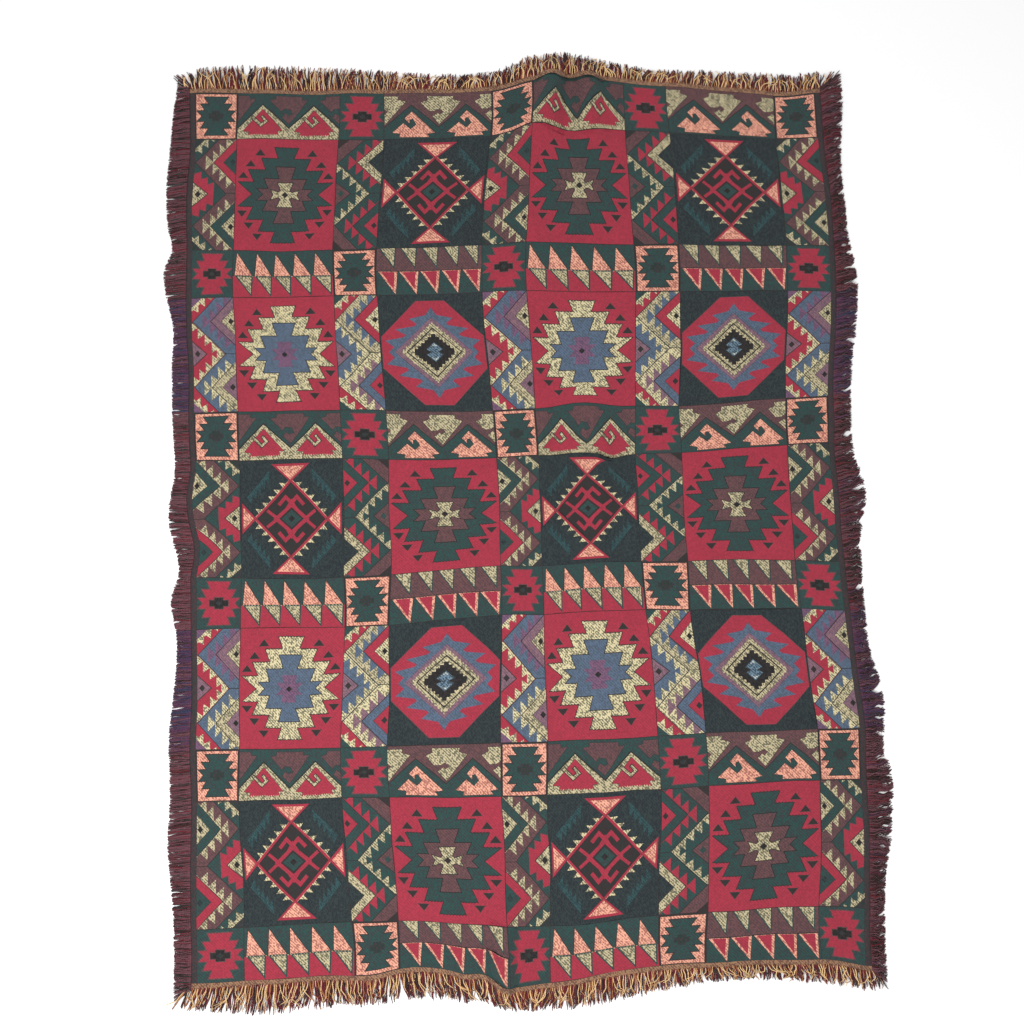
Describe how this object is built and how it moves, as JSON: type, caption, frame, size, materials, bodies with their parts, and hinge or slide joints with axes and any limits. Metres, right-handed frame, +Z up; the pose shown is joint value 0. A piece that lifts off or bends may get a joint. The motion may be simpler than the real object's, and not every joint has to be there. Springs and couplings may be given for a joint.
{
  "type": "rug blanket",
  "caption": "Woven cotton rug blanket with a patchwork of kilim motifs, plain hems and fringe on all four sides, lying flat.",
  "frame": {"origin": "middle of the outline, fringe included, on the floor that the blanket lies on", "axes": "+Y along the blanket's length towards its top edge, +X across it, +Z up"},
  "size_m": [1.3387, 1.8128, 0.0273],
  "materials": {
    "woven_cotton": "matt jacquard-woven cotton in red, dark green, maroon, beige, peach, blue and purple yarns",
    "warp_yarn": "loose cotton warp yarns in cream, maroon and dark brown",
    "weft_yarn": "short dense cotton weft yarns in maroon, dark green, blue and purple"
  },
  "bodies": {
    "root": {"cloth": "woven_cotton", "fringe_top": "warp_yarn", "fringe_bottom": "warp_yarn", "fringe_left": "weft_yarn", "fringe_right": "weft_yarn"}
  },
  "joints": []
}
